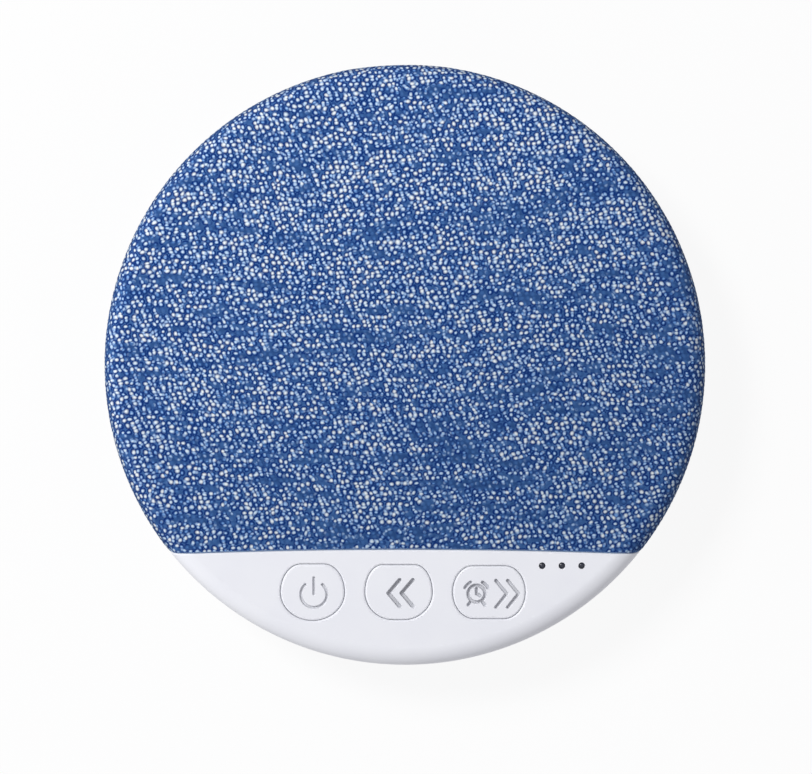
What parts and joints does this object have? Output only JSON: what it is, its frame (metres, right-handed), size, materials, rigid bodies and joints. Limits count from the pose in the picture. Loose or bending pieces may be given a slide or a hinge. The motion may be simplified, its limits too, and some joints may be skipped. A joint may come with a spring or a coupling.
{
  "type": "pillow speaker",
  "caption": "Flat round bedside speaker with a fabric face, a moulded control crescent with push keys, a slim driver, battery and charging socket.",
  "frame": {"origin": "centre of the body on the underside of the base ring, on which the speaker lies", "axes": "+Z out of the fabric face, +Y away from the control crescent, +X to the right as the keys are read"},
  "size_m": [0.092, 0.092, 0.015],
  "materials": {
    "case_white": "satin moulded",
    "key_white": "satin moulded",
    "grille_grey": "moulded, dark",
    "cloth_blue": "woven blue with white flecks",
    "silicone_grey": "soft matt silicone",
    "screw_steel": "zinc plated",
    "stem_black": "moulded nylon",
    "switch_steel": "stamped cover",
    "board_green": "solder mask",
    "led_body": "clear epoxy on white",
    "guide_navy": "smoked acrylic",
    "socket_steel": "plated, drawn",
    "chip_black": "moulded epoxy",
    "can_steel": "bright can",
    "ferrite_grey": "pressed ferrite",
    "capacitor_tan": "fired ceramic",
    "pouch_foil": "laminated foil",
    "foam_tape": "thin foam",
    "connector_ivory": "moulded nylon",
    "lead_red": "soft insulation",
    "lead_black": "soft insulation",
    "basket_steel": "pressed steel, plated",
    "foam_grey": "foam",
    "cup_steel": "turned",
    "magnet_nickel": "nickel plated",
    "coil_copper": "wound copper wire",
    "cone_paper": "pressed pulp",
    "surround_rubber": "moulded rubber",
    "laminate_brown": "phenolic laminate"
  },
  "bodies": {
    "case": {"front_shell": "case_white", "grille_frame": "grille_grey", "grille_fabric": "cloth_blue", "rear_cover": "case_white", "base_ring": "silicone_grey", "case_screws": "screw_steel", "switch_bodies": "switch_steel", "main_board": "board_green", "board_screws": "screw_steel", "indicator_leds": "led_body", "light_guide": "guide_navy", "usb_socket": "socket_steel", "usb_tongue": "stem_black", "sound_chip": "chip_black", "memory_chip": "chip_black", "amplifier_chip": "chip_black", "charger_chip": "chip_black", "crystal": "can_steel", "power_inductor": "ferrite_grey", "board_capacitors": "capacitor_tan", "battery": "pouch_foil", "battery_protector": "board_green", "battery_tape": "foam_tape", "battery_header": "connector_ivory", "battery_plug": "connector_ivory", "battery_lead_red": "lead_red", "battery_lead_black": "lead_black", "speaker_header": "connector_ivory", "speaker_plug": "connector_ivory", "speaker_lead_red": "lead_red", "speaker_lead_black": "lead_black", "speaker_basket": "basket_steel", "speaker_gasket": "foam_grey", "speaker_screws": "screw_steel", "magnet_cup": "cup_steel", "speaker_magnet": "magnet_nickel", "pole_plate": "cup_steel", "speaker_surround": "surround_rubber", "terminal_board": "laminate_brown"},
    "power_key": {"power_button": "key_white", "power_plunger": "stem_black"},
    "back_key": {"back_button": "key_white", "back_plunger": "stem_black"},
    "forward_key": {"forward_button": "key_white", "forward_plunger": "stem_black"},
    "diaphragm": {"speaker_cone": "cone_paper", "voice_coil": "coil_copper", "dust_cap": "cone_paper"}
  },
  "joints": [
    {"name": "power_press", "type": "slide", "parent": "case", "child": "power_key", "axis": [0, 0, -1], "range_m": [0, 0.0004], "stiffness_N_per_m": 1500},
    {"name": "back_press", "type": "slide", "parent": "case", "child": "back_key", "axis": [0, 0, -1], "range_m": [0, 0.0004], "stiffness_N_per_m": 1500},
    {"name": "forward_press", "type": "slide", "parent": "case", "child": "forward_key", "axis": [0, 0, -1], "range_m": [0, 0.0004], "stiffness_N_per_m": 1500},
    {"name": "cone_stroke", "type": "slide", "parent": "case", "child": "diaphragm", "axis": [0, 0, 1], "range_m": [-0.0005, 0.0005], "stiffness_N_per_m": 1000, "deforming": ["speaker_surround"]}
  ]
}
